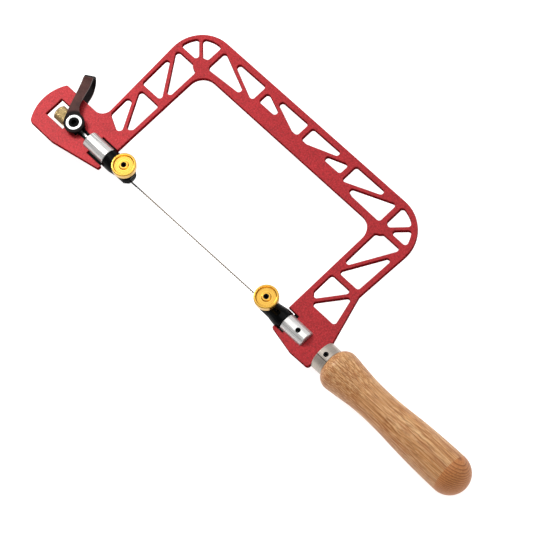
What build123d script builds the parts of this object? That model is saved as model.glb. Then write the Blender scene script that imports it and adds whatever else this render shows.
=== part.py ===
"""Coping saw with a truss plate frame, swivelling blade clamps and a lever that tensions the blade.

Frame of reference: X runs along the blade towards the handle, Y from the blade towards the
spine, Z out of the plate on the side of the thumbscrews. The origin is on the blade axis,
at the rear clamp screw. All sizes are in millimetres.
"""
import os
from math import atan2, cos, degrees, hypot, radians, sin, sqrt

from build123d import *

os.makedirs("parts", exist_ok=True)

# ---------------------------------------------------------------- driving dimensions
blade_span = 120.0          # between the two clamp screws
throat_depth = 76.2         # blade axis to the underside of the spine
plate_thickness = 3.4
running_gap = 0.05          # radial gap of a running or sliding fit

# frame plate
front_arm_x = -134.8        # inner edge of the front arm
rear_arm_x = 9.8            # inner edge of the rear arm
rear_prong_x = 11.4
pivot_x = -165.0            # lever pivot, tensioned
nose_radius = 27.3          # around the pivot
nose_top_y = 14.9
nose_low_y = -16.4
plate_end_x = 43.8          # edge against the ferrule
throat_radius = 10.0

# truss pockets
cross_strut = 3.4
diagonal_strut = 2.2
pocket_radius = 1.8

# slots in the plate
rail_half = 3.5             # half width of the slots that the sleeves sit in
channel_half = 2.2          # half width of the rod channel
window_half = 6.5           # half width of the nut window
window_x = (-183.6, -169.0)
pin_slot_half = 4.0         # half width of the window's narrow end, for the lever pin
pin_slot_end_x = -160.0
front_mouth_x = -147.1
front_mouth_y = (-7.2, 6.5)
front_rail_x = -153.8
rear_mouth_x = 18.2
rear_mouth_y = (-6.4, 7.0)
strip_low_z = -1.2          # guide strips between the sleeves and the mouths' walls
strip_high_z = 0.9
strip_gap = 0.1             # between a strip and the wall beside it

# sleeves and swivelling clamps, measured along X from a clamp screw
sleeve_radius = 5.65
sleeve_length = 16.8
front_reach = 15.9          # screw to the near end of the sleeve
rear_reach = 14.7
shank_radius = 2.0
collar_radius = 6.2
jaw_radius = 5.2
jaw_tip = 4.6
cone_start = 4.6
cone_end = 10.2
detent_ball_radius = 0.8
detent_lift = 0.45          # ball centre above the shank's surface
detent_count = 8
dimple_depth = 0.15         # below the floor of the ball's race
detent_screw_radius = 1.6
detent_screw_length = 0.95
slot_depth = 9.2            # blade slot, past the clamp screw
blade_slot_height = 1.15
jaw_flat = 4.7              # spot face under the thumbscrew
shank_length = 13.0
bore_depth = 13.2

# thumbscrews
knob_radius = 7.45
knob_top = 14.5
knob_thickness = 4.0
neck_radius = 3.0
hub_radius = 2.5
stud_radius = 1.7
pad_thickness = 0.9

# blade
blade_length = 130.0
blade_width = 0.9
blade_thickness = 0.26
blade_plain_end = 15.0
blade_tooth_pitch = 1.5
blade_tooth_depth = 0.32
blade_front_y = -1.6        # the blade sits a little off the axis, more at the front
blade_rear_y = -0.4

# lever and tension train
lever_angle = 120.6         # from +X, at rest
lever_bend_radius = 6.3     # outside of the U bend, and half the yoke's height
lever_strip = 1.4
lever_bend_at = 27.3        # pivot to the centre of the U bend
lever_tip_width = 5.8
eye_radius = 6.3
ring_radius = 4.85
trunnion_radius = 3.1
cam_high = 5.35             # pivot to saddle, tensioned
cam_low = 3.85              # pivot to saddle, released
cam_turn = 100.0            # lever travel in degrees
cam_nose_angle = 40.0       # the high side runs on at full radius
cam_inner_z = 3.5
saddle_x = -159.5           # face that the cams bear on
saddle_thickness = 1.0
saddle_half_width = 2.8
saddle_half_height = 4.6
trough_end_x = -153.9
rod_radius = 1.5
rod_end_x = -179.2
rod_grip = 3.0              # length held in the front sleeve's end wall
nut_radius = 4.6
nut_bore = 1.52
nut_hub_radius = 3.2
nut_end_x = -179.6
nut_face_x = -171.0
washer_x = -168.65

# handle and ferrule
ferrule_radius = 8.95
ferrule_end_x = 51.8
ferrule_wall = 0.9
ferrule_rim = 0.5           # radius of the rounded rims
seam_angle = 20.0           # of the ferrule's seam, from +Z towards -Y
seam_width = 0.35
seam_depth = 0.2
tenon_radius = 8.0          # of the handle, inside the ferrule
set_screw_x = 48.2
set_screw_radius = 1.6
set_screw_top = 8.7
handle_dome_x = 146.1
handle_dome_radius = 12.6
tang_half = 5.0
tang_end_x = 88.0

front_screw_x = -blade_span
half_plate = plate_thickness / 2
front_sleeve_x = front_screw_x - front_reach - sleeve_length
rear_sleeve_end_x = rear_reach + sleeve_length
rear_detent_x = rear_reach + 10.3
front_detent_x = front_screw_x - front_reach - 7.1


def finish(part, name):
    """Label a finished piece and write it to its own file."""
    part.label = name
    export_step(part, f"parts/{name}.step")


# ---------------------------------------------------------------- frame plate
# Cross struts and diagonals of the truss: end, end and width.
truss_struts = [
    ((-160.0, 44.6), (-136.0, 44.6), cross_strut),
    ((-160.0, 77.7), (-136.0, 77.7), cross_strut),
    ((-136.2, 77.0), (-136.2, 100.0), cross_strut),
    ((-98.3, 80.0), (-98.3, 100.0), cross_strut),
    ((-62.5, 80.0), (-62.5, 100.0), cross_strut),
    ((-26.7, 80.0), (-26.7, 100.0), cross_strut),
    ((11.4, 77.0), (11.4, 100.0), cross_strut),
    ((10.0, 78.2), (36.0, 78.2), cross_strut),
    ((10.0, 40.1), (36.0, 40.1), cross_strut),
    ((-155.8, 43.9), (-136.8, 10.0), diagonal_strut),
    ((-157.8, 74.9), (-136.8, 45.3), diagonal_strut),
    ((-136.8, 76.8), (-156.0, 95.2), diagonal_strut),
    ((-134.8, 96.2), (-98.8, 81.4), diagonal_strut),
    ((-98.8, 95.9), (-62.8, 82.6), diagonal_strut),
    ((-60.8, 82.9), (-25.8, 96.0), diagonal_strut),
    ((-158.0, 38.3), (-153.0, 38.3), 8.5),
    ((-26.8, 81.3), (11.2, 97.1), diagonal_strut),
    ((13.2, 77.0), (34.2, 97.8), diagonal_strut),
    ((13.1, 41.8), (34.0, 78.0), diagonal_strut),
    ((12.3, 13.7), (34.0, 41.3), diagonal_strut),
]
truss_hubs = [((-138.3, 78.5), 5.0), ((12.8, 78.3), 4.4)]

with BuildSketch() as outline:
    nose_top_x = pivot_x - sqrt(nose_radius**2 - nose_top_y**2)
    nose_low_x = pivot_x - sqrt(nose_radius**2 - nose_low_y**2)
    with BuildLine():
        edge = Polyline(
            (nose_top_x, nose_top_y),
            (-156.5, nose_top_y),
            (-161.1, 99.2),
            (37.1, 99.8),
            (34.4, 39.5),
            (plate_end_x, 8.6),
            (plate_end_x, -11.4),
            (29.5, -11.8),
            (rear_prong_x, -8.2),
            (rear_prong_x, 0),
            (rear_arm_x, 0),
            (rear_arm_x, throat_depth),
            (front_arm_x, throat_depth),
            (front_arm_x, -9.6),
            (-167.8, nose_low_y),
            (nose_low_x, nose_low_y),
        )
        ThreePointArc(edge @ 1, (pivot_x - nose_radius, 0), edge @ 0)
    make_face()
    for corner, radius in [
        ((-156.5, nose_top_y), 6.5),
        ((-161.1, 99.2), 22.5),
        ((37.1, 99.8), 24.0),
        ((rear_arm_x, throat_depth), throat_radius),
        ((front_arm_x, throat_depth), throat_radius),
        ((plate_end_x, -11.4), 2.0),
        ((nose_low_x, nose_low_y), 3.0),
        ((nose_top_x, nose_top_y), 1.5),
        ((front_arm_x, -9.6), 1.0),
        ((rear_prong_x, -8.2), 1.0),
    ]:
        fillet(outline.vertices().sort_by_distance(corner)[0], radius)

with BuildSketch() as pockets:
    with BuildLine():
        Polyline(
            (-155.0, 20.0),
            (-157.6, 95.0),
            (33.4, 96.4),
            (31.1, 40.0),
            (37.0, 17.2),
            (19.0, 17.2),
            (13.1, 24.0),
            (13.1, 80.3),
            (-13.0, 80.6),
            (-30.0, 85.8),
            (-95.8, 85.8),
            (-108.0, 81.6),
            (-137.6, 79.4),
            (-137.6, 22.0),
            (-144.2, 14.8),
            close=True,
        )
    make_face()
    fillet(pockets.vertices().sort_by_distance((-157.6, 95.0))[0], 17.3)
    fillet(pockets.vertices().sort_by_distance((33.4, 96.4))[0], 20.7)
    for start, end, width in truss_struts:
        run, rise = end[0] - start[0], end[1] - start[1]
        with Locations(((start[0] + end[0]) / 2, (start[1] + end[1]) / 2)):
            Rectangle(hypot(run, rise), width, degrees(atan2(rise, run)), mode=Mode.SUBTRACT)
    for centre, radius in truss_hubs:
        with Locations(centre):
            Circle(radius, mode=Mode.SUBTRACT)
    offset(amount=-pocket_radius, kind=Kind.INTERSECTION)
    offset(amount=pocket_radius, kind=Kind.ARC)


def cuts(*boxes):
    """Rectangles, each from x0, x1, y0 and y1."""
    with BuildSketch() as made:
        for x0, x1, y0, y1 in boxes:
            with Locations(((x0 + x1) / 2, (y0 + y1) / 2)):
                Rectangle(x1 - x0, y1 - y0)
    return made.sketch


slots = cuts(
    (front_mouth_x, front_arm_x + 2, *front_mouth_y),
    (front_rail_x, front_mouth_x + 1, -rail_half, rail_half),
    (pin_slot_end_x - 1, front_rail_x + 1, -channel_half, channel_half),
    (window_x[1] - 1, pin_slot_end_x, -pin_slot_half, pin_slot_half),
    (window_x[0], window_x[1], -window_half, window_half),
    (rear_prong_x - 3, rear_mouth_x, *rear_mouth_y),
    (rear_mouth_x - 1, rear_sleeve_end_x, -rail_half, rail_half),
)

with BuildPart() as frame_plate:
    with BuildSketch(Plane.XY.offset(-half_plate)):
        add(outline.sketch)
        add(pockets.sketch, mode=Mode.SUBTRACT)
        add(slots, mode=Mode.SUBTRACT)
    extrude(amount=plate_thickness)
    with BuildSketch(Plane.XY.offset(-half_plate)):
        with Locations(((plate_end_x + tang_end_x) / 2 - 0.5, 0)):
            Rectangle(tang_end_x - plate_end_x + 1, 2 * tang_half)
    extrude(amount=plate_thickness)
    rims = frame_plate.faces().filter_by(Axis.Z).edges()
    rims = rims.filter_by(lambda e: abs(abs(e.center().Z) - half_plate) < 0.01)
    chamfer(rims.filter_by(lambda e: e.center().X < plate_end_x - 0.5), 0.3)
finish(frame_plate.part, "frame_plate")


# ---------------------------------------------------------------- sleeves
def sleeve(near_x, way, rail_gap, groove_x, screw_x, screw_side):
    """A blind tube on the blade axis; way is the direction from its open near end to its far end."""
    far_x = near_x + way * sleeve_length
    groove_end_x = far_x + way
    with BuildPart() as tube:
        with BuildSketch(Plane.YZ.offset(min(near_x, far_x))):
            Circle(sleeve_radius)
        extrude(amount=sleeve_length)
        chamfer(tube.edges().filter_by(GeomType.CIRCLE), 0.35)
        with BuildSketch(Plane.YZ.offset(near_x)):
            Circle(shank_radius + running_gap)
        extrude(amount=way * bore_depth, mode=Mode.SUBTRACT)
        # grooves for the edges of the plate's slot
        groove_floor = rail_half - rail_gap
        for side in (1, -1):
            with BuildSketch(Plane.XY.offset(-half_plate - rail_gap)):
                with Locations(
                    ((groove_x + groove_end_x) / 2, side * (groove_floor + sleeve_radius) / 2)
                ):
                    Rectangle(abs(groove_end_x - groove_x), sleeve_radius - groove_floor)
            extrude(amount=plate_thickness + 2 * rail_gap, mode=Mode.SUBTRACT)
        # tapped hole for the detent screw
        with BuildSketch(Plane.XY):
            with Locations((screw_x, 0)):
                Circle(detent_screw_radius)
        extrude(amount=screw_side * sleeve_radius, mode=Mode.SUBTRACT)
        if rail_gap > 0:
            # the sliding sleeve holds the rod in its end wall
            with BuildSketch(Plane.YZ.offset(far_x)):
                Circle(rod_radius)
            extrude(amount=-way * sleeve_length / 2, mode=Mode.SUBTRACT)
    return tube.part


rear_sleeve = sleeve(rear_reach, 1, 0.0, rear_mouth_x, rear_detent_x, 1)
finish(rear_sleeve, "rear_sleeve")
front_sleeve = sleeve(
    front_screw_x - front_reach, -1, running_gap, front_mouth_x + 1, front_detent_x, -1
)
finish(front_sleeve, "front_sleeve")


def guide_strips(x0, x1, mouth_y):
    """Two strips that fill a mouth on either side of its sleeve."""
    with BuildPart() as strips:
        with BuildSketch(Plane.XY.offset(strip_low_z)):
            add(cuts((x0, x1, mouth_y[0] + strip_gap, mouth_y[1] - strip_gap)))
        extrude(amount=strip_high_z - strip_low_z)
        with BuildSketch(Plane.YZ.offset(x0 - 1)):
            Circle(sleeve_radius + 0.02)
        extrude(amount=x1 - x0 + 2, mode=Mode.SUBTRACT)
    return strips.part


front_strips = guide_strips(
    front_mouth_x + 0.6, front_screw_x - front_reach - 0.2, front_mouth_y
)
finish(front_strips, "front_guide_strips")
finish(guide_strips(rear_reach + 0.5, rear_mouth_x - 0.05, rear_mouth_y), "rear_guide_strips")


# ---------------------------------------------------------------- swivelling clamps
def clamp(screw_x, way, reach, detent_x, detent_side):
    """A turned clamp: slotted jaw, cone, collar and shank, with a race and dimples for the detent."""
    shank_end = reach + shank_length
    with BuildPart() as body:
        with BuildSketch(Plane.XY):
            with BuildLine():
                Polyline(
                    (screw_x + way * shank_end, 0),
                    (screw_x + way * shank_end, shank_radius),
                    (screw_x + way * (reach - 0.1), shank_radius),
                    (screw_x + way * (reach - 0.1), collar_radius),
                    (screw_x + way * cone_end, collar_radius),
                    (screw_x + way * cone_start, jaw_radius),
                    (screw_x - way * (jaw_tip - 2.6), jaw_radius),
                    (screw_x - way * jaw_tip, 3.4),
                    (screw_x - way * jaw_tip, 0),
                    close=True,
                )
            make_face()
        revolve(axis=Axis.X)
        rims = body.edges().filter_by(GeomType.CIRCLE)
        chamfer(rims.filter_by(lambda e: abs(e.radius - collar_radius) < 0.01), 0.4)
        rims = body.edges().filter_by(GeomType.CIRCLE)
        fillet(rims.filter_by(lambda e: abs(e.radius - 3.4) < 0.01), 1.2)
        # race for the detent ball, and the dimples in its floor
        race_radius = detent_ball_radius + 0.03
        ball_plane = Plane(origin=(detent_x, 0, 0), x_dir=(0, 0, detent_side), z_dir=(1, 0, 0))
        with Locations(ball_plane):
            Torus(shank_radius + detent_lift, race_radius, mode=Mode.SUBTRACT)
            with PolarLocations(shank_radius + detent_lift - dimple_depth, detent_count):
                Sphere(race_radius, mode=Mode.SUBTRACT)
        # blade slot, and the tapped hole for the thumbscrew and its pad
        slot_length = jaw_tip + slot_depth
        with BuildSketch(Plane.XY.offset(-blade_thickness / 2 - 0.02)):
            with Locations((screw_x + way * (slot_depth - jaw_tip) / 2, 0)):
                Rectangle(slot_length, 3 * jaw_radius)
        extrude(amount=blade_slot_height, mode=Mode.SUBTRACT)
        with BuildSketch(Plane.XY):
            with Locations((screw_x, 0)):
                Circle(stud_radius + running_gap)
        extrude(amount=jaw_radius + 1, mode=Mode.SUBTRACT)
        # spot face around the thumbscrew, and a tommy hole in the cone
        with BuildSketch(Plane.XY.offset(jaw_flat)):
            with Locations((screw_x, 0)):
                Rectangle(2 * cone_start, 3 * jaw_radius)
        extrude(amount=jaw_radius, mode=Mode.SUBTRACT)
        with BuildSketch(Plane.XY.offset(3.2)):
            with Locations((screw_x + way * 8.3, 0)):
                Circle(0.9)
        extrude(amount=jaw_radius, mode=Mode.SUBTRACT)
    return body.part


rear_clamp = clamp(0.0, 1, rear_reach, rear_detent_x, 1)
finish(rear_clamp, "rear_swivel_clamp")
front_clamp = clamp(front_screw_x, -1, front_reach, front_detent_x, -1)
finish(front_clamp, "front_swivel_clamp")


# ---------------------------------------------------------------- detents
def detent_ball(x, side):
    """The ball that drops into the shank's dimples."""
    with BuildPart() as ball:
        with Locations((x, 0, side * (shank_radius + detent_lift))):
            Sphere(detent_ball_radius)
    return ball.part


def detent_spring(x, side):
    """A short coil spring between the ball and its screw."""
    low = shank_radius + detent_lift + 0.62
    height = sleeve_radius - detent_screw_length - 0.25 - low
    with BuildPart() as spring:
        with BuildLine():
            coil = Helix(0.4, height, 0.78, center=(x, 0, side * low), direction=(0, 0, side))
        with BuildSketch(Plane(origin=coil @ 0, z_dir=coil % 0)):
            Circle(0.11)
        sweep(path=coil, is_frenet=True)
    return spring.part


def detent_screw(x, side):
    """A headless socket screw, its face just below the sleeve's surface."""
    top = sleeve_radius - 0.05
    face = Plane(origin=(x, 0, side * top), x_dir=(1, 0, 0), z_dir=(0, 0, side))
    with BuildPart() as screw:
        with BuildSketch(face):
            Circle(detent_screw_radius - 0.02)
        extrude(amount=-detent_screw_length)
        chamfer(screw.faces().sort_by(Axis.Z)[0 if side < 0 else -1].edges(), 0.12)
        with BuildSketch(face):
            RegularPolygon(0.75, 6, major_radius=False)
        extrude(amount=-0.7, mode=Mode.SUBTRACT)
    return screw.part


for end, x, side in [("rear", rear_detent_x, 1), ("front", front_detent_x, -1)]:
    finish(detent_ball(x, side), f"{end}_detent_ball")
    finish(detent_spring(x, side), f"{end}_detent_spring")
    finish(detent_screw(x, side), f"{end}_detent_screw")


# ---------------------------------------------------------------- thumbscrews and pads
def thumbscrew(x):
    """A dished brass knob with a hub and a neck, bored for its stud."""
    knob_base = knob_top - knob_thickness
    bore = stud_radius + 0.02
    with BuildPart() as knob:
        with BuildSketch(Plane.XZ):
            with BuildLine():
                Polyline(
                    (x + bore, jaw_flat + 1.2),
                    (x + neck_radius, jaw_flat + 1.2),
                    (x + neck_radius, knob_base),
                    (x + knob_radius, knob_base),
                    (x + knob_radius, knob_top),
                    (x + knob_radius - 1.2, knob_top),
                    (x + knob_radius - 1.8, knob_top - 1.1),
                    (x + hub_radius + 0.5, knob_top - 1.1),
                    (x + hub_radius, knob_top - 0.2),
                    (x + bore, knob_top - 0.2),
                    close=True,
                )
            make_face()
        revolve(axis=Axis((x, 0, 0), (0, 0, 1)))
        rim = knob.edges().filter_by(GeomType.CIRCLE)
        fillet(rim.filter_by(lambda e: abs(e.radius - knob_radius) < 0.01), 0.55)
    return knob.part


def screw_stud(x):
    """The socket-headed stud fixed in a knob; its point presses on the pad."""
    stud_low = blade_thickness / 2 + 0.04 + pad_thickness
    stud_top = knob_top - 0.4
    with BuildPart() as stud:
        with BuildSketch(Plane.XY.offset(stud_low)):
            with Locations((x, 0)):
                Circle(stud_radius)
        extrude(amount=stud_top - stud_low)
        chamfer(stud.edges().filter_by(GeomType.CIRCLE), 0.15)
        with BuildSketch(Plane.XY.offset(stud_top)):
            with Locations((x, 0)):
                RegularPolygon(1.1, 6, major_radius=False)
        extrude(amount=-3.0, mode=Mode.SUBTRACT)
    return stud.part


def pressure_pad(x):
    """The loose disc between the stud and the blade."""
    with BuildPart() as pad:
        with BuildSketch(Plane.XY.offset(blade_thickness / 2 + 0.02)):
            with Locations((x, 0)):
                Circle(stud_radius - 0.02)
        extrude(amount=pad_thickness)
        chamfer(pad.faces().sort_by(Axis.Z)[-1].edges(), 0.15)
    return pad.part


for end, x in [("rear", 0.0), ("front", front_screw_x)]:
    finish(thumbscrew(x), f"{end}_thumbscrew")
    finish(screw_stud(x), f"{end}_screw_stud")
    finish(pressure_pad(x), f"{end}_pressure_pad")

# ---------------------------------------------------------------- blade
with BuildPart() as blade:
    overhang = (blade_length - blade_span) / 2
    slope = degrees(atan2(blade_rear_y - blade_front_y, blade_span))
    middle = Location(
        (-blade_span / 2, (blade_front_y + blade_rear_y) / 2, -blade_thickness / 2), (0, 0, slope)
    )
    half_width = blade_width / 2
    toothed = blade_length - 2 * blade_plain_end
    tooth_count = int(toothed / blade_tooth_pitch)
    with BuildSketch(Plane(middle)):
        with BuildLine():
            start_x = -blade_length / 2 + blade_plain_end
            points = [(-blade_length / 2, half_width), (-blade_length / 2, -half_width)]
            for tooth in range(tooth_count):
                tip_x = start_x + tooth * blade_tooth_pitch
                gullet = -half_width + blade_tooth_depth
                points += [
                    (tip_x, -half_width),
                    (tip_x + 0.2, gullet),
                    (tip_x + 0.6, gullet),
                    (tip_x + blade_tooth_pitch - 0.3, -half_width),
                ]
            points += [(blade_length / 2, -half_width), (blade_length / 2, half_width)]
            Polyline(*points, close=True)
        make_face()
    extrude(amount=blade_thickness)
finish(blade.part, "blade")

# ---------------------------------------------------------------- tension train
lever_direction = Vector(cos(radians(lever_angle)), sin(radians(lever_angle)), 0)
lever_side = Vector(-sin(radians(lever_angle)), cos(radians(lever_angle)), 0)
pivot = Vector(pivot_x, 0, 0)
leg_inner = lever_bend_radius - lever_strip

# One U-shaped strip: two legs with eyes, joined by the bend past the nose.
with BuildPart() as lever_yoke:
    strip_plane = Plane(
        origin=pivot - lever_side * (eye_radius + 1), x_dir=lever_direction, z_dir=lever_side
    )
    with BuildSketch(strip_plane):
        with BuildLine():
            outer_leg = Polyline((-eye_radius, lever_bend_radius), (lever_bend_at, lever_bend_radius))
            outer_bend = ThreePointArc(
                outer_leg @ 1,
                (lever_bend_at + lever_bend_radius, 0),
                (lever_bend_at, -lever_bend_radius),
            )
            Polyline(
                outer_bend @ 1,
                (-eye_radius, -lever_bend_radius),
                (-eye_radius, -leg_inner),
                (lever_bend_at, -leg_inner),
            )
            inner_bend = ThreePointArc(
                (lever_bend_at, -leg_inner),
                (lever_bend_at + leg_inner, 0),
                (lever_bend_at, leg_inner),
            )
            Polyline(inner_bend @ 1, (-eye_radius, leg_inner), (-eye_radius, lever_bend_radius))
        make_face()
    extrude(amount=2 * eye_radius + 2)
    # trimmed to the outline of the legs
    leg_plane = Plane(
        origin=pivot - Vector(0, 0, lever_bend_radius + 1), x_dir=lever_direction, z_dir=(0, 0, 1)
    )
    half_tip = lever_tip_width / 2
    tip = lever_bend_at + lever_bend_radius + 1
    with BuildSketch(leg_plane):
        Circle(eye_radius)
        with BuildLine():
            # the legs are cranked towards the nose between the eyes and the bend
            nose_edge = Spline(
                (0, eye_radius), (8.5, 5.6), (14.8, 4.6), (20.0, 3.8), (lever_bend_at, half_tip)
            )
            inner_edge = Spline(
                (lever_bend_at, -half_tip), (18.4, -1.3), (12.8, -0.35), (7.9, -1.1), (4.6, -4.3)
            )
            Polyline(nose_edge @ 1, (tip, half_tip), (tip, -half_tip), inner_edge @ 0)
            Polyline(inner_edge @ 1, (0, 0), nose_edge @ 0)
        make_face()
    extrude(amount=2 * lever_bend_radius + 2, mode=Mode.INTERSECT)
    with BuildSketch(Plane.XY.offset(-lever_bend_radius - 1)):
        with Locations((pivot_x, 0)):
            Circle(ring_radius)
    extrude(amount=2 * lever_bend_radius + 2, mode=Mode.SUBTRACT)
finish(lever_yoke.part, "lever_yoke")

# Polished rings pressed into the eyes, one on each side.
with BuildPart() as pivot_rings:
    for side in (1, -1):
        face = Plane(origin=(pivot_x, 0, side * leg_inner), x_dir=(1, 0, 0), z_dir=(0, 0, side))
        with BuildSketch(face):
            Circle(ring_radius)
            Circle(trunnion_radius + running_gap, mode=Mode.SUBTRACT)
        extrude(amount=lever_strip + 0.25)
    chamfer(
        pivot_rings.edges().filter_by(
            lambda e: e.geom_type == GeomType.CIRCLE
            and abs(abs(e.center().Z) - lever_bend_radius - 0.25) < 0.01
        ),
        0.2,
    )
finish(pivot_rings.part, "pivot_rings")


def cam_reach(angle):
    """Distance from the pivot to a cam's edge, square to the saddle, at a lever travel."""
    return cam_high - (cam_high - cam_low) * angle / cam_turn


# Snail cams between the legs and the plate, their high side on the saddle at rest.
with BuildPart() as cams:
    for side in (1, -1):
        low_z = cam_inner_z if side > 0 else -leg_inner
        with BuildSketch(Plane(origin=(pivot_x, 0, low_z))):
            with BuildLine():
                step = cam_turn / 10
                rise = [
                    Vector(cam_reach(n * step), 0).rotate(Axis.Z, -n * step) for n in range(11)
                ]
                Spline(*rise)
                back = CenterArc((0, 0), cam_low, -cam_turn, cam_nose_angle + cam_turn - 360)
                high = CenterArc((0, 0), cam_high, 0, cam_nose_angle)
                Line(back @ 1, high @ 1)
            make_face()
            Circle(trunnion_radius + running_gap, mode=Mode.SUBTRACT)
        extrude(amount=leg_inner - cam_inner_z)
finish(cams.part, "lever_cams")

# Cross pin of the lever; the rod passes through it.
with BuildPart() as trunnion:
    with BuildSketch(Plane.XY.offset(-lever_bend_radius - 0.1)):
        with Locations((pivot_x, 0)):
            Circle(trunnion_radius)
    extrude(amount=2 * lever_bend_radius + 0.2)
    chamfer(trunnion.edges().filter_by(GeomType.CIRCLE), 0.25)
    with BuildSketch(Plane.YZ.offset(pivot_x - 2 * trunnion_radius)):
        Circle(rod_radius + running_gap)
    extrude(amount=4 * trunnion_radius, mode=Mode.SUBTRACT)
    for side in (1, -1):
        with BuildSketch(
            Plane(
                origin=(pivot_x, 0, side * (lever_bend_radius + 0.1)),
                x_dir=(1, 0, 0),
                z_dir=(0, 0, side),
            )
        ):
            RegularPolygon(1.5, 6, major_radius=False)
        extrude(amount=-2.2, mode=Mode.SUBTRACT)
finish(trunnion.part, "lever_trunnion")

# Hardened seat that the cams bear on: a cheek on each face and a trough for the rod.
with BuildPart() as saddle:
    with BuildSketch(Plane.XY.offset(-saddle_half_height)):
        with Locations((saddle_x + saddle_thickness / 2, 0)):
            Rectangle(saddle_thickness, 2 * saddle_half_width)
    extrude(amount=2 * saddle_half_height)
    with BuildSketch(Plane.XY.offset(-half_plate)):
        with Locations((saddle_x + (saddle_thickness + 1) / 2, 0)):
            Rectangle(saddle_thickness + 1, 2 * saddle_half_width + 1)
    extrude(amount=plate_thickness, mode=Mode.SUBTRACT)
    with BuildSketch(Plane.XY.offset(-half_plate)):
        with Locations(((saddle_x + trough_end_x) / 2, 0)):
            Rectangle(trough_end_x - saddle_x, 2 * channel_half)
    extrude(amount=plate_thickness)
    with BuildSketch(Plane.YZ.offset(saddle_x - 1)):
        Circle(rod_radius + 0.1)
    extrude(amount=trough_end_x - saddle_x + 2, mode=Mode.SUBTRACT)
    with BuildSketch(Plane.XY):
        with Locations((trough_end_x, 0)):
            Rectangle(
                2 * (trough_end_x - saddle_x - saddle_thickness), 2 * (rod_radius + 0.1)
            )
    extrude(amount=half_plate, mode=Mode.SUBTRACT)
finish(saddle.part, "cam_saddle")

# The rod that ties the front sleeve to the nut.
with BuildPart() as tension_rod:
    with BuildSketch(Plane.YZ.offset(rod_end_x)):
        Circle(rod_radius)
    extrude(amount=front_sleeve_x + rod_grip - rod_end_x)
    chamfer(tension_rod.edges().filter_by(GeomType.CIRCLE), 0.25)
finish(tension_rod.part, "tension_rod")

# Knurled nut that sets the tension, with a hub that reaches between the cams.
with BuildPart() as adjusting_nut:
    with BuildSketch(Plane.XY):
        with BuildLine():
            Polyline(
                (nut_end_x, nut_bore),
                (nut_end_x, nut_radius - 0.8),
                (nut_end_x + 0.8, nut_radius),
                (nut_face_x - 0.6, nut_radius),
                (nut_face_x, nut_radius - 0.6),
                (nut_face_x, nut_hub_radius),
                (washer_x, nut_hub_radius),
                (washer_x, nut_bore),
                close=True,
            )
        make_face()
    revolve(axis=Axis.X)
finish(adjusting_nut.part, "adjusting_nut")

with BuildPart() as thrust_washer:
    with BuildSketch(Plane.YZ.offset(washer_x + 0.02)):
        Circle(nut_hub_radius)
        Circle(rod_radius + running_gap, mode=Mode.SUBTRACT)
    extrude(amount=pivot_x - trunnion_radius - washer_x - 0.04)
finish(thrust_washer.part, "thrust_washer")

# ---------------------------------------------------------------- handle
with BuildPart() as ferrule:
    with BuildSketch(Plane.YZ.offset(plate_end_x)):
        Circle(ferrule_radius)
    extrude(amount=ferrule_end_x - plate_end_x)
    with BuildSketch(Plane.YZ.offset(plate_end_x + ferrule_wall)):
        Circle(ferrule_radius - ferrule_wall)
    extrude(amount=ferrule_end_x - plate_end_x, mode=Mode.SUBTRACT)
    with BuildSketch(Plane.YZ.offset(plate_end_x - 1)):
        Rectangle(2 * tang_half, plate_thickness)
    extrude(amount=ferrule_end_x, mode=Mode.SUBTRACT)
    rim = ferrule.edges().filter_by(GeomType.CIRCLE).group_by(SortBy.RADIUS)[-1]
    fillet(rim, ferrule_rim)
    # the seam, short of both rims
    seam_x = (plate_end_x + ferrule_end_x) / 2
    with Locations(Location((seam_x, 0, 0), (seam_angle, 0, 0)) * Location((0, 0, ferrule_radius))):
        seam_length = ferrule_end_x - plate_end_x - 2.5 * ferrule_rim
        Box(seam_length, seam_width, 2 * seam_depth, mode=Mode.SUBTRACT)
    with BuildSketch(Plane.XY):
        with Locations((set_screw_x, 0)):
            Circle(set_screw_radius)
    extrude(amount=ferrule_radius + 1, mode=Mode.SUBTRACT)
finish(ferrule.part, "ferrule")

with BuildPart() as handle:
    with BuildSketch(Plane.XY):
        with BuildLine():
            shoulder = ThreePointArc((ferrule_end_x, ferrule_radius + 0.15), (54.5, 11.65), (59.4, 12.65))
            Spline(
                shoulder @ 1,
                (68.0, 11.65),
                (76.9, 10.66),
                (88.8, 10.24),
                (100.5, 10.64),
                (112.2, 11.5),
                (129.7, 12.36),
                (handle_dome_x, handle_dome_radius),
            )
            dome = CenterArc((handle_dome_x, 0), handle_dome_radius, 0, 90)
            Polyline(
                dome @ 0,
                (plate_end_x + ferrule_wall, 0),
                (plate_end_x + ferrule_wall, tenon_radius),
                (ferrule_end_x, tenon_radius),
                shoulder @ 0,
            )
        make_face()
    revolve(axis=Axis.X)
    with BuildSketch(Plane.YZ.offset(plate_end_x)):
        Rectangle(2 * tang_half, plate_thickness)
    extrude(amount=tang_end_x - plate_end_x, mode=Mode.SUBTRACT)
    with BuildSketch(Plane.XY):
        with Locations((set_screw_x, 0)):
            Circle(set_screw_radius)
    extrude(amount=ferrule_radius + 1, mode=Mode.SUBTRACT)
finish(handle.part, "handle")

# Grub screw through the ferrule onto the tang.
with BuildPart() as set_screw:
    with BuildSketch(Plane.XY.offset(half_plate)):
        with Locations((set_screw_x, 0)):
            Circle(set_screw_radius)
    extrude(amount=set_screw_top - half_plate)
    chamfer(set_screw.faces().sort_by(Axis.Z)[-1].edges(), 0.15)
    with BuildSketch(Plane.XY.offset(set_screw_top)):
        with Locations((set_screw_x, 0)):
            RegularPolygon(0.75, 6, major_radius=False)
    extrude(amount=-2.0, mode=Mode.SUBTRACT)
finish(set_screw.part, "ferrule_set_screw")
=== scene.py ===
"""Looks of the coping saw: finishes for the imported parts, a knurled nut, studio and camera."""

import math

import bpy
from mathutils import Matrix, Vector


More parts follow.
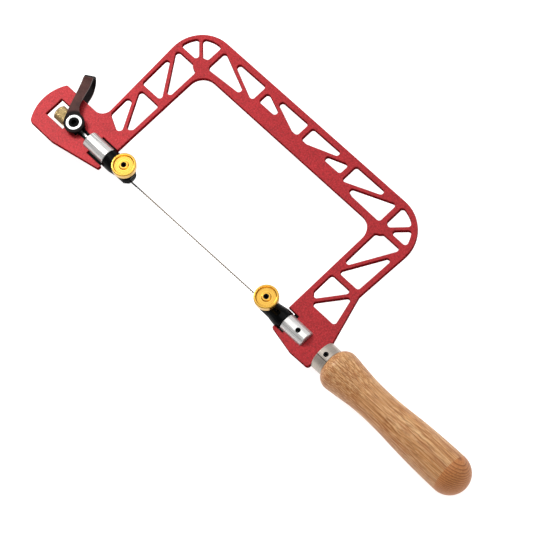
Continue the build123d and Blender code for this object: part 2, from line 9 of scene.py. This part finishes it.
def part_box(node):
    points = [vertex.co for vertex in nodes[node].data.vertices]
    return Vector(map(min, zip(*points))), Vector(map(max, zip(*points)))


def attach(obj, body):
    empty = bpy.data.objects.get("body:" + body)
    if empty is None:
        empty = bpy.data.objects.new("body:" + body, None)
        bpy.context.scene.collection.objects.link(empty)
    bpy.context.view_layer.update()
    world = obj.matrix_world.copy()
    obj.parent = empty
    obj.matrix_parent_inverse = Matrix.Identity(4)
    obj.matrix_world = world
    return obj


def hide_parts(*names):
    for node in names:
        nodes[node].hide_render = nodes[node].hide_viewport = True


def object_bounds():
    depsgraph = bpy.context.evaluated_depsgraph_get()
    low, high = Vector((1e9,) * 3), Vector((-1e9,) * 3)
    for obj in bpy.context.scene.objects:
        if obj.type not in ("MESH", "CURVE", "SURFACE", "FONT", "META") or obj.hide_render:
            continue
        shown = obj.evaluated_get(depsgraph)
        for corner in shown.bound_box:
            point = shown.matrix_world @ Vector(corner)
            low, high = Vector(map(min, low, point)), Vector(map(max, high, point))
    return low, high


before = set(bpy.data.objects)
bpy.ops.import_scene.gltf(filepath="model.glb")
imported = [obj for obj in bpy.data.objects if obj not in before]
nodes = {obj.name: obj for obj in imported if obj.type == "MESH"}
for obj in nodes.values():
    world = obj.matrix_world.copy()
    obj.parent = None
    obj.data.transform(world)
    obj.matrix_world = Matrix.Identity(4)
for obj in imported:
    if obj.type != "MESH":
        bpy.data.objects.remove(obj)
cad_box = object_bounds()
scene = bpy.context.scene
MM = 0.001
# the axes that some finishes turn about: the blade axis along X, and three that stand along Z
blade_axis = rear_screw = (0.0, 0.0, 0.0)
front_screw = (-120.0 * MM, 0.0, 0.0)
lever_pivot = (-165.0 * MM, 0.0, 0.0)


def display(r, g, b):
    """The linear colour that shows as this 8-bit display colour."""
    levels = [c / 255 for c in (r, g, b)]
    return (*[c / 12.92 if c <= 0.04045 else ((c + 0.055) / 1.055) ** 2.4 for c in levels], 1.0)


# ---------------------------------------------------------------- finishes
class Finish:
    """A node material, with short ways to add the nodes that the finishes share.

    Points are object coordinates in metres, so noise scales are per metre.
    """

    def __init__(self, name, **sockets):
        self.material = bpy.data.materials.new(name)
        self.material.use_nodes = True
        self.tree = self.material.node_tree
        self.tree.nodes.clear()
        self.shader = self.node("ShaderNodeBsdfPrincipled")
        output = self.node("ShaderNodeOutputMaterial")
        self.join(self.shader.outputs["BSDF"], output.inputs["Surface"])
        for socket, value in sockets.items():
            self.shader.inputs[socket.replace("_", " ")].default_value = value
        where = self.node("ShaderNodeTexCoord")
        self.point = where.outputs["Object"]
        self.normal = where.outputs["Normal"]

    def node(self, kind, **settings):
        made = self.tree.nodes.new(kind)
        for key, value in settings.items():
            setattr(made, key, value)
        return made

    def join(self, source, target):
        if isinstance(source, bpy.types.NodeSocket):
            self.tree.links.new(source, target)
        else:
            target.default_value = source

    def scaled(self, x, y, z, turn=(0, 0, 0), shift=(0, 0, 0)):
        """The object's coordinates, multiplied along each axis, then turned and shifted."""
        mapping = self.node("ShaderNodeMapping", vector_type="POINT")
        self.join(self.point, mapping.inputs["Vector"])
        mapping.inputs["Scale"].default_value = (x, y, z)
        mapping.inputs["Rotation"].default_value = turn
        mapping.inputs["Location"].default_value = shift
        return mapping.outputs["Vector"]

    def noise(self, vector, scale=1.0, detail=4.0, roughness=0.5):
        made = self.node("ShaderNodeTexNoise")
        self.join(vector, made.inputs["Vector"])
        made.inputs["Scale"].default_value = scale
        made.inputs["Detail"].default_value = detail
        made.inputs["Roughness"].default_value = roughness
        return made.outputs["Fac"]

    def math(self, operation, a, b=0.0):
        made = self.node("ShaderNodeMath", operation=operation)
        for source, target in zip((a, b), made.inputs):
            self.join(source, target)
        return made.outputs[0]

    def parts(self, vector):
        """The vector's X, Y and Z."""
        made = self.node("ShaderNodeSeparateXYZ")
        self.join(vector, made.inputs[0])
        return made.outputs["X"], made.outputs["Y"], made.outputs["Z"]

    def between(self, value, low, high, to_low=0.0, to_high=1.0):
        """A smooth step in value from to_low at low to to_high at high, clamped to those."""
        made = self.node("ShaderNodeMapRange", interpolation_type="SMOOTHSTEP")
        for source, target in zip((value, low, high, to_low, to_high), made.inputs):
            self.join(source, target)
        return made.outputs["Result"]

    def ramp(self, value, *stops):
        """The colour at value, from stops of position and colour."""
        made = self.node("ShaderNodeValToRGB")
        self.join(value, made.inputs["Fac"])
        points = made.color_ramp.elements
        while len(points) < len(stops):
            points.new(0.5)
        for point, (position, colour) in zip(points, stops):
            point.position = position
            point.color = colour
        return made.outputs["Color"]

    def mix(self, share, a, b):
        """Colour a where share is 0 and colour b where it is 1."""
        made = self.node("ShaderNodeMix", data_type="RGBA")
        colour_a, colour_b = [s for s in made.inputs if s.type == "RGBA"]
        self.join(share, made.inputs["Factor"])
        self.join(a, colour_a)
        self.join(b, colour_b)
        return next(s for s in made.outputs if s.type == "RGBA")

    def bump(self, height, distance, strength):
        made = self.node("ShaderNodeBump")
        self.join(height, made.inputs["Height"])
        made.inputs["Distance"].default_value = distance
        made.inputs["Strength"].default_value = strength
        return made.outputs["Normal"]

    def worn_edge(self, radius):
        """1 where the surface turns sharply within radius, else 0."""
        round_normal = self.node("ShaderNodeBevel", samples=4)
        round_normal.inputs["Radius"].default_value = radius
        true_normal = self.node("ShaderNodeNewGeometry").outputs["Normal"]
        product = self.node("ShaderNodeVectorMath", operation="DOT_PRODUCT")
        self.join(round_normal.outputs["Normal"], product.inputs[0])
        self.join(true_normal, product.inputs[1])
        return self.between(product.outputs["Value"], 0.995, 0.9)

    def patchy_edge(self, radius, scale, low, high):
        """worn_edge, kept only where a noise of this scale passes from low to high."""
        return self.math(
            "MULTIPLY",
            self.worn_edge(radius),
            self.between(self.noise(self.point, scale), low, high),
        )

    def radius_from(self, axis, centre):
        """Distance from a line through centre, along X or Z."""
        x, y, z = self.parts(self.point)
        across = (y, z) if axis == "X" else (x, y)
        offsets = (centre[1], centre[2]) if axis == "X" else (centre[0], centre[1])
        squares = [
            self.math("POWER", self.math("SUBTRACT", value, offset), 2.0)
            for value, offset in zip(across, offsets)
        ]
        return self.math("SQRT", self.math("ADD", *squares))

    def give(self, **sockets):
        """The finished material, with these values or links on its shader."""
        for socket, source in sockets.items():
            self.join(source, self.shader.inputs[socket.replace("_", " ")])
        return self.material


def red_anodised():
    """Bead-blasted anodised plate: satin faces, tool-marked walls in painted shade, worn edges
    with a painted highlight.
    """
    f = Finish("red_anodised", Coat_Roughness=0.42, Specular_IOR_Level=0.0)
    # the cut walls stand along Z, so their normals have little Z in them
    wall = f.between(f.math("ABSOLUTE", f.parts(f.normal)[2]), 0.6, 0.3)
    open_face = f.math("SUBTRACT", 1.0, wall)
    grain = f.noise(f.point, 1250, 3, 0.7)
    cloud = f.noise(f.point, 45, 3, 0.5)
    speck = f.noise(f.scaled(1, 1, 1, shift=(0.3, 0.1, 0.2)), 1000, 2, 0.5)
    face = f.ramp(cloud, (0.3, display(146, 16, 24)), (0.7, display(158, 20, 28)))
    face = f.mix(f.between(grain, 0.46, 0.64, 0.0, 0.6), face, display(192, 48, 54))
    face = f.mix(f.between(speck, 0.5, 0.64, 0.0, 0.5), face, display(104, 7, 13))
    ridges = f.noise(f.scaled(220, 220, 5200), 1.0, 2, 0.6)
    # painted shade: the cut walls get a darker red than the faces, over their real tool-mark
    # ridges
    shaded_wall_colour = f.ramp(ridges, (0.3, display(84, 4, 9)), (0.7, display(122, 11, 17)))
    colour = f.mix(wall, face, shaded_wall_colour)
    # the top edges turn a lighter pink: partly wear, partly a painted highlight
    edge = f.patchy_edge(0.35 * MM, 300, 0.35, 0.6)
    edge = f.math("MULTIPLY", edge, open_face)
    colour = f.mix(f.math("MULTIPLY", edge, 0.3), colour, display(206, 104, 104))
    rough = f.between(grain, 0.2, 0.8, 0.36, 0.5)
    tooled = f.math("MULTIPLY", f.math("MULTIPLY", ridges, wall), 1.5)
    height = f.math("ADD", f.math("MULTIPLY", grain, 0.6), tooled)
    return f.give(
        Base_Color=colour,
        Roughness=rough,
        Metallic=f.math("MULTIPLY", open_face, 0.3),
        Coat_Weight=f.math("MULTIPLY", open_face, 0.42),
        Normal=f.bump(height, 0.02 * MM, 0.7),
    )


def beech():
    """Turned hardwood: straight fibres, pores and ray flecks, and rings in the end grain."""
    f = Finish("beech", Coat_Weight=0.05, Coat_Roughness=0.3, Specular_IOR_Level=0.25)
    x, y, z = f.parts(f.point)
    # depth counts across the growth rings, which wander a little
    wander = 4.2 * MM
    rings_per_metre = 950.0
    drift = f.noise(f.scaled(9, 55, 55), 1.0, 2, 0.5)
    depth = f.math("ADD", f.math("MULTIPLY", y, 0.6), f.math("MULTIPLY", z, 0.8))
    depth = f.math("ADD", depth, f.math("MULTIPLY", drift, wander))
    # X scales far below Y and Z draw each noise out along the handle
    fibre = f.noise(f.scaled(26, 2300, 2300), 1.0, 4, 0.6)
    streak = f.noise(f.scaled(12, 620, 620), 1.0, 3, 0.55)
    late = f.noise(f.scaled(11, 1300, 1300, shift=(0.2, 0.4, 0.1)), 1.0, 3, 0.6)
    band = f.noise(f.scaled(8, 230, 230, shift=(0.5, 0.2, 0.7)), 1.0, 2, 0.5)
    pores = f.noise(f.scaled(190, 3600, 3600), 1.0, 2, 0.5)
    flecks = f.noise(f.scaled(210, 900, 2300, turn=(0.64, 0, 0)), 1.0, 2, 0.5)
    pale = f.ramp(
        streak,
        (0.35, display(190, 132, 80)),
        (0.5, display(210, 158, 104)),
        (0.65, display(226, 182, 130)),
    )
    colour = f.mix(f.between(band, 0.45, 0.62, 0.0, 0.35), pale, display(176, 110, 60))
    colour = f.mix(f.between(late, 0.48, 0.58, 0.0, 0.6), colour, display(146, 84, 42))
    # painted shade: darker towards -Y, the side turned from the lights, with a streaky border
    low_side = f.math("ADD", f.math("MULTIPLY", y, -0.85), f.math("MULTIPLY", z, -0.12))
    border = f.math("MULTIPLY", f.math("SUBTRACT", streak, 0.5), 12.0 * MM)
    low_side = f.math("ADD", low_side, border)
    low_side_shade = f.between(low_side, -1.0 * MM, 8.0 * MM, 0.0, 0.4)
    colour = f.mix(low_side_shade, colour, display(166, 96, 50))
    colour = f.mix(f.between(fibre, 0.5, 0.6, 0.0, 0.6), colour, display(146, 86, 44))
    colour = f.mix(f.between(fibre, 0.48, 0.38, 0.0, 0.55), colour, display(236, 196, 144))
    colour = f.mix(f.between(pores, 0.56, 0.66, 0.0, 0.6), colour, display(108, 62, 30))
    colour = f.mix(f.between(flecks, 0.6, 0.68, 0.0, 0.45), colour, display(128, 74, 38))
    # end grain on the dome at the butt
    dome = f.between(x, 145.8 * MM, 146.4 * MM)
    rings = f.math("FRACT", f.math("MULTIPLY", depth, rings_per_metre))
    end = f.ramp(
        rings,
        (0.0, display(200, 130, 76)),
        (0.6, display(190, 118, 64)),
        (0.85, display(124, 66, 30)),
        (1.0, display(194, 124, 70)),
    )
    dots = f.noise(f.scaled(2400, 2400, 2400), 1.0, 2, 0.5)
    end = f.mix(f.between(dots, 0.53, 0.64, 0.0, 0.5), end, display(110, 60, 28))
    colour = f.mix(f.math("MULTIPLY", dome, 0.85), colour, end)
    rough = f.between(fibre, 0.3, 0.7, 0.38, 0.5)
    height = f.math("ADD", f.math("MULTIPLY", pores, -0.7), f.math("MULTIPLY", fibre, -0.5))
    return f.give(Base_Color=colour, Roughness=rough, Normal=f.bump(height, 0.03 * MM, 0.5))


def turned(name, axis, centre, dark, bright, rough, coat=0.0, metallic=1.0, seam=None):
    """Lathe-turned metal: fine rings about an axis, some staining and perhaps a dark seam."""
    ring_scale = 5200
    stain_share = 0.25
    f = Finish(name, Metallic=metallic, Coat_Weight=coat, Coat_Roughness=0.12)
    x, y, z = f.parts(f.point)
    radius = f.radius_from(axis, centre)
    along = x if axis == "X" else z
    feed = f.node("ShaderNodeCombineXYZ")
    f.join(f.math("MULTIPLY", radius, ring_scale), feed.inputs[0])
    f.join(f.math("MULTIPLY", along, ring_scale), feed.inputs[1])
    rings = f.noise(feed.outputs[0], 1.0, 3, 0.6)
    stain = f.noise(f.point, 260, 4, 0.6)
    colour = f.ramp(rings, (0.25, dark), (0.75, bright))
    colour = f.mix(f.between(stain, 0.5, 0.75, 0.0, stain_share), colour, dark)
    if seam is not None:
        # the seam lies along X, turned from +Z towards -Y, on the +Z side only
        aside = f.math(
            "ADD",
            f.math("MULTIPLY", y, math.cos(seam)),
            f.math("MULTIPLY", z, math.sin(seam)),
        )
        dark_line = f.between(f.math("ABSOLUTE", aside), 0.3 * MM, 0.15 * MM)
        dark_line = f.math("MULTIPLY", dark_line, f.between(z, 6.0 * MM, 6.5 * MM))
        colour = f.mix(f.math("MULTIPLY", dark_line, 0.9), colour, display(34, 30, 27))
    spread = f.between(rings, 0.25, 0.75, rough - 0.06, rough + 0.08)
    return f.give(Base_Color=colour, Roughness=spread, Normal=f.bump(rings, 0.006 * MM, 0.5))


def brushed(name, dark, bright, rough, grain=(60, 2400, 2400), metallic=1.0):
    """Metal brushed along X."""
    cloud_share = 0.2
    f = Finish(name, Metallic=metallic)
    lines = f.noise(f.scaled(*grain), 1.0, 3, 0.6)
    cloud = f.noise(f.point, 180, 3, 0.5)
    colour = f.ramp(lines, (0.25, dark), (0.75, bright))
    colour = f.mix(f.between(cloud, 0.45, 0.7, 0.0, cloud_share), colour, dark)
    spread = f.between(lines, 0.25, 0.75, rough - 0.05, rough + 0.09)
    return f.give(Base_Color=colour, Roughness=spread, Normal=f.bump(lines, 0.008 * MM, 0.4))


def black_oxide():
    """Blackened steel, faintly blue, rubbed brighter on its edges."""
    f = Finish("black_oxide", Specular_IOR_Level=0.05, Coat_Weight=0.04, Coat_Roughness=0.08)
    cloud = f.noise(f.point, 700, 4, 0.6)
    colour = f.ramp(cloud, (0.35, display(2, 2, 3)), (0.7, display(12, 12, 14)))
    edge = f.patchy_edge(0.18 * MM, 900, 0.4, 0.62)
    colour = f.mix(f.math("MULTIPLY", edge, 0.4), colour, display(104, 106, 112))
    rough = f.between(cloud, 0.3, 0.7, 0.16, 0.3)
    return f.give(Base_Color=colour, Roughness=rough, Normal=f.bump(cloud, 0.006 * MM, 0.4))


def browned():
    """Heat-browned spring steel with a satin rub, paler edges, and painted shade at the eyes and
    inside the strip.
    """
    f = Finish("browned_steel", Specular_IOR_Level=0.15)
    rub = f.noise(f.scaled(900, 900, 260), 1.0, 4, 0.6)
    cloud = f.noise(f.point, 240, 4, 0.6)
    colour = f.ramp(cloud, (0.3, display(52, 24, 23)), (0.7, display(74, 42, 38)))
    colour = f.mix(f.between(rub, 0.45, 0.7, 0.0, 0.4), colour, display(86, 62, 52))
    edge = f.patchy_edge(0.25 * MM, 700, 0.35, 0.6)
    colour = f.mix(f.math("MULTIPLY", edge, 0.45), colour, display(150, 120, 108))
    # painted shade: black around the eyes and on the inner faces of the strip, where shadow falls
    eye = f.between(f.radius_from("Z", lever_pivot), 8.4 * MM, 6.6 * MM, 0.0, 0.9)
    inner_face_shade = f.between(f.math("ABSOLUTE", f.parts(f.point)[2]), 5.2 * MM, 4.95 * MM, 0.0, 0.95)
    painted_shade = f.math("MAXIMUM", eye, inner_face_shade)
    colour = f.mix(painted_shade, colour, display(9, 7, 8))
    rough = f.math("ADD", f.between(rub, 0.3, 0.7, 0.4, 0.55), f.math("MULTIPLY", painted_shade, 0.3))
    return f.give(
        Base_Color=colour,
        Roughness=rough,
        Metallic=f.math("MULTIPLY", f.math("SUBTRACT", 1.0, painted_shade), 0.15),
        Normal=f.bump(rub, 0.008 * MM, 0.4),
    )


def dull_black():
    """Phosphated steel, flat black with a faint dusty mottle."""
    f = Finish("phosphated", Specular_IOR_Level=0.04)
    cloud = f.noise(f.point, 900, 4, 0.6)
    colour = f.ramp(cloud, (0.35, display(3, 3, 4)), (0.7, display(14, 13, 14)))
    rough = f.between(cloud, 0.3, 0.7, 0.5, 0.7)
    return f.give(Base_Color=colour, Roughness=rough, Normal=f.bump(cloud, 0.01 * MM, 0.5))


def blade_steel():
    """Tempered steel strip, straw to grey along its length and blued black at both ends."""
    f = Finish("blade_steel", Metallic=0.6)
    x = f.parts(f.point)[0]
    lines = f.noise(f.scaled(120, 5200, 5200), 1.0, 3, 0.6)
    colour = f.ramp(lines, (0.25, display(72, 60, 47)), (0.75, display(104, 90, 72)))
    front_blued = f.between(x, -104.5 * MM, -108.5 * MM)
    rear_blued = f.between(x, 0.5 * MM, 4.0 * MM)
    blued = f.math("MAXIMUM", front_blued, rear_blued)
    colour = f.mix(blued, colour, display(22, 22, 28))
    rough = f.between(lines, 0.3, 0.7, 0.3, 0.45)
    return f.give(Base_Color=colour, Roughness=rough, Normal=f.bump(lines, 0.004 * MM, 0.4))


brass = display(176, 128, 42), display(216, 174, 76)
steel = display(196, 194, 192), display(240, 238, 236)
nickel = display(146, 136, 126), display(190, 181, 171)
pale_brass = display(168, 142, 94), display(212, 188, 136)
ring_steel = display(226, 226, 226), display(250, 250, 250)
ball_steel = display(214, 214, 216), display(246, 246, 246)
spring_steel = display(150, 150, 152), display(210, 210, 210)

black = black_oxide()
flat_black = dull_black()
spring_wire = brushed("spring_wire", *spring_steel, 0.3)
polished = turned("polished_steel", "X", blade_axis, *ball_steel, 0.12)
finishes = {
    "frame_plate": red_anodised(),
    "handle": beech(),
    "ferrule": turned(
        "ferrule_nickel", "X", blade_axis, *nickel, 0.36, metallic=0.75, seam=math.radians(20)
    ),
    "lever_yoke": browned(),
    "pivot_rings": turned("polished_ring", "Z", lever_pivot, *ring_steel, 0.12),
    "adjusting_nut": turned("nut_brass", "X", blade_axis, *pale_brass, 0.34),
    "lever_trunnion": flat_black,
    "tension_rod": turned("rod_steel", "X", blade_axis, *steel, 0.2),
    "thrust_washer": turned("washer_steel", "X", blade_axis, *steel, 0.25),
    "blade": blade_steel(),
}
for end, screw, grain in (
    ("rear", rear_screw, (40, 1500, 1500)),
    ("front", front_screw, (44, 1400, 1400)),
):
    finishes[f"{end}_sleeve"] = brushed(f"{end}_sleeve_steel", *steel, 0.28, grain, 0.7)
    finishes[f"{end}_thumbscrew"] = turned(f"{end}_brass", "Z", screw, *brass, 0.26, coat=0.3)
    finishes[f"{end}_pressure_pad"] = turned(f"{end}_pad_brass", "Z", screw, *brass, 0.32)
    # painted shade: the guide strips are flat black pieces filling the narrow gaps beside the
    # sleeves, where shade falls
    finishes[f"{end}_guide_strips"] = flat_black
    finishes[f"{end}_detent_screw"] = flat_black
    finishes[f"{end}_detent_ball"] = polished
    finishes[f"{end}_detent_spring"] = spring_wire
# every other piece is blackened steel
for name, node in nodes.items():
    node.data.materials.clear()
    node.data.materials.append(finishes.get(name, black))
    node.data.set_sharp_from_angle(angle=math.radians(28))
    node.data.polygons.foreach_set("use_smooth", [True] * len(node.data.polygons))

# ---------------------------------------------------------------- knurled nut
low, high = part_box("adjusting_nut")
nut_radius = (high.z - low.z) / 2
hub_radius = 3.2 * MM
bore_radius = 1.52 * MM
face_x = -171.0 * MM  # where the knurled head ends and the hub begins
knurl_depth = 0.2 * MM
knurl_fade = 0.3 * MM
knurls = 34
knurl_rows = 44
steps_round = knurls * 8
# profile along the nut: x, radius, whether the knurl is cut there
profile = [
    (low.x, bore_radius, False),
    (low.x, nut_radius - 0.8 * MM, False),
    (low.x + 0.65 * MM, nut_radius - 0.15 * MM, False),
]
knurl_low, knurl_high = low.x + 0.75 * MM, face_x - 0.65 * MM
for n in range(knurl_rows + 1):
    profile.append((knurl_low + (knurl_high - knurl_low) * n / knurl_rows, nut_radius, True))
profile += [
    (face_x - 0.5 * MM, nut_radius - 0.12 * MM, False),
    (face_x, nut_radius - 0.6 * MM, False),
    (face_x, hub_radius, False),
    (high.x, hub_radius, False),
    (high.x, bore_radius, False),
]
knurl_pitch = 2 * math.pi * nut_radius / knurls


def groove_depth(x, angle):
    """Depth of the diamond knurl here: two sets of crossed grooves that fade at the ends."""
    around = angle / (2 * math.pi) * knurls
    along = (x - knurl_low) / knurl_pitch
    groove = max(abs((around + way * along) % 1.0 - 0.5) * 2 for way in (1, -1))
    fade = min(1.0, (x - knurl_low) / knurl_fade, (knurl_high - x) / knurl_fade)
    return knurl_depth * max(groove * 1.5 - 0.5, 0.0) * max(fade, 0.0)


points = []
for x, radius, knurled in profile:
    for n in range(steps_round):
        angle = 2 * math.pi * n / steps_round
        cut = radius - (groove_depth(x, angle) if knurled else 0.0)
        points.append((x, cut * math.cos(angle), cut * math.sin(angle)))
# the last row of the profile joins the first, along the bore
faces = []
for row in range(len(profile)):
    here, there = row * steps_round, (row + 1) % len(profile) * steps_round
    for n in range(steps_round):
        after = (n + 1) % steps_round
        faces.append((here + n, here + after, there + after, there + n))
mesh = bpy.data.meshes.new("knurled_nut")
mesh.from_pydata(points, [], faces)
mesh.update()
nut = bpy.data.objects.new("knurled_nut", mesh)
scene.collection.objects.link(nut)
mesh.materials.append(finishes["adjusting_nut"])
mesh.polygons.foreach_set("use_smooth", [True] * len(mesh.polygons))
mesh.set_sharp_from_angle(angle=math.radians(35))
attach(nut, "nut")
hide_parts("adjusting_nut")

# ---------------------------------------------------------------- studio
floor_z = cad_box[0].z - 0.2 * MM
reach = 3.0
corners = [(-1, -1), (1, -1), (1, 1), (-1, 1)]
floor_mesh = bpy.data.meshes.new("floor")
floor_mesh.from_pydata([(x * reach, y * reach, floor_z) for x, y in corners], [], [(0, 1, 2, 3)])
floor = bpy.data.objects.new("floor", floor_mesh)
scene.collection.objects.link(floor)
# it glows a little, so that it shows as white under shadows too
white = Finish(
    "floor_white",
    Base_Color=(0.55, 0.55, 0.55, 1),
    Roughness=0.9,
    Specular_IOR_Level=0.1,
    Emission_Color=(1, 1, 1, 1),
    Emission_Strength=0.85,
)
floor_mesh.materials.append(white.material)

# the studio around: dim at middle height, brighter near the horizon and towards +Y
world = bpy.data.worlds.new("studio")
scene.world = world
world.use_nodes = True
sky = world.node_tree
heading = sky.nodes.new("ShaderNodeTexCoord")
split = sky.nodes.new("ShaderNodeSeparateXYZ")
sky.links.new(heading.outputs["Generated"], split.inputs[0])
height_ramp = sky.nodes.new("ShaderNodeValToRGB")
sky.links.new(split.outputs["Z"], height_ramp.inputs["Fac"])
levels = [(0.0, 0.55), (0.4, 0.52), (0.5, 0.26), (0.58, 0.32), (1.0, 0.34)]
while len(height_ramp.color_ramp.elements) < len(levels):
    height_ramp.color_ramp.elements.new(0.5)
for stop, (position, level) in zip(height_ramp.color_ramp.elements, levels):
    stop.position = position
    stop.color = (level, level, level, 1)
back_wall = sky.nodes.new("ShaderNodeMapRange")
sky.links.new(split.outputs["Y"], back_wall.inputs["Value"])
for socket, value in zip(list(back_wall.inputs)[1:5], (0.1, 0.8, 0.0, 0.35)):
    socket.default_value = value
total = sky.nodes.new("ShaderNodeMath")
total.operation = "ADD"
sky.links.new(height_ramp.outputs["Color"], total.inputs[0])
sky.links.new(back_wall.outputs["Result"], total.inputs[1])
sky.links.new(total.outputs[0], sky.nodes["Background"].inputs["Strength"])
sky.nodes["Background"].inputs["Color"].default_value = (0.98, 0.99, 1.0, 1)


lit_point = Vector((-0.06, 0.03, 0.0))


def softbox(name, toward, distance, size, power):
    """A square area light that looks at the lit point from a direction."""
    data = bpy.data.lights.new(name, "AREA")
    data.size = size
    data.energy = power
    light = bpy.data.objects.new(name, data)
    direction = Vector(toward).normalized()
    light.location = lit_point + direction * distance
    light.rotation_mode = "QUATERNION"
    light.rotation_quaternion = (-direction).to_track_quat("-Z", "Y")
    scene.collection.objects.link(light)


softbox("key", (-0.644, -0.043, 0.764), 0.95, 0.26, 5.6)
softbox("overhead", (-0.22, 0.25, 1.0), 1.3, 1.3, 6.4)

# ---------------------------------------------------------------- camera
camera_data = bpy.data.cameras.new("camera")
camera_data.sensor_width = 36.0
camera_data.lens = 218.6
camera_data.clip_start = 0.05
camera = bpy.data.objects.new("camera", camera_data)
scene.collection.objects.link(camera)
# place and directions fitted to the outline in the photo
eye = (0.6105, -0.3498, 1.7229)
right = Vector((0.6931, 0.7137, -0.1014)).normalized()
forward = Vector((-0.3362, 0.1956, -0.9212)).normalized()
up = right.cross(forward)
turn = Matrix((right, up, -forward)).transposed()
camera.matrix_world = Matrix.Translation(eye) @ turn.to_4x4()
scene.camera = camera
scene.view_settings.view_transform = "Standard"
scene.view_settings.look = "None"
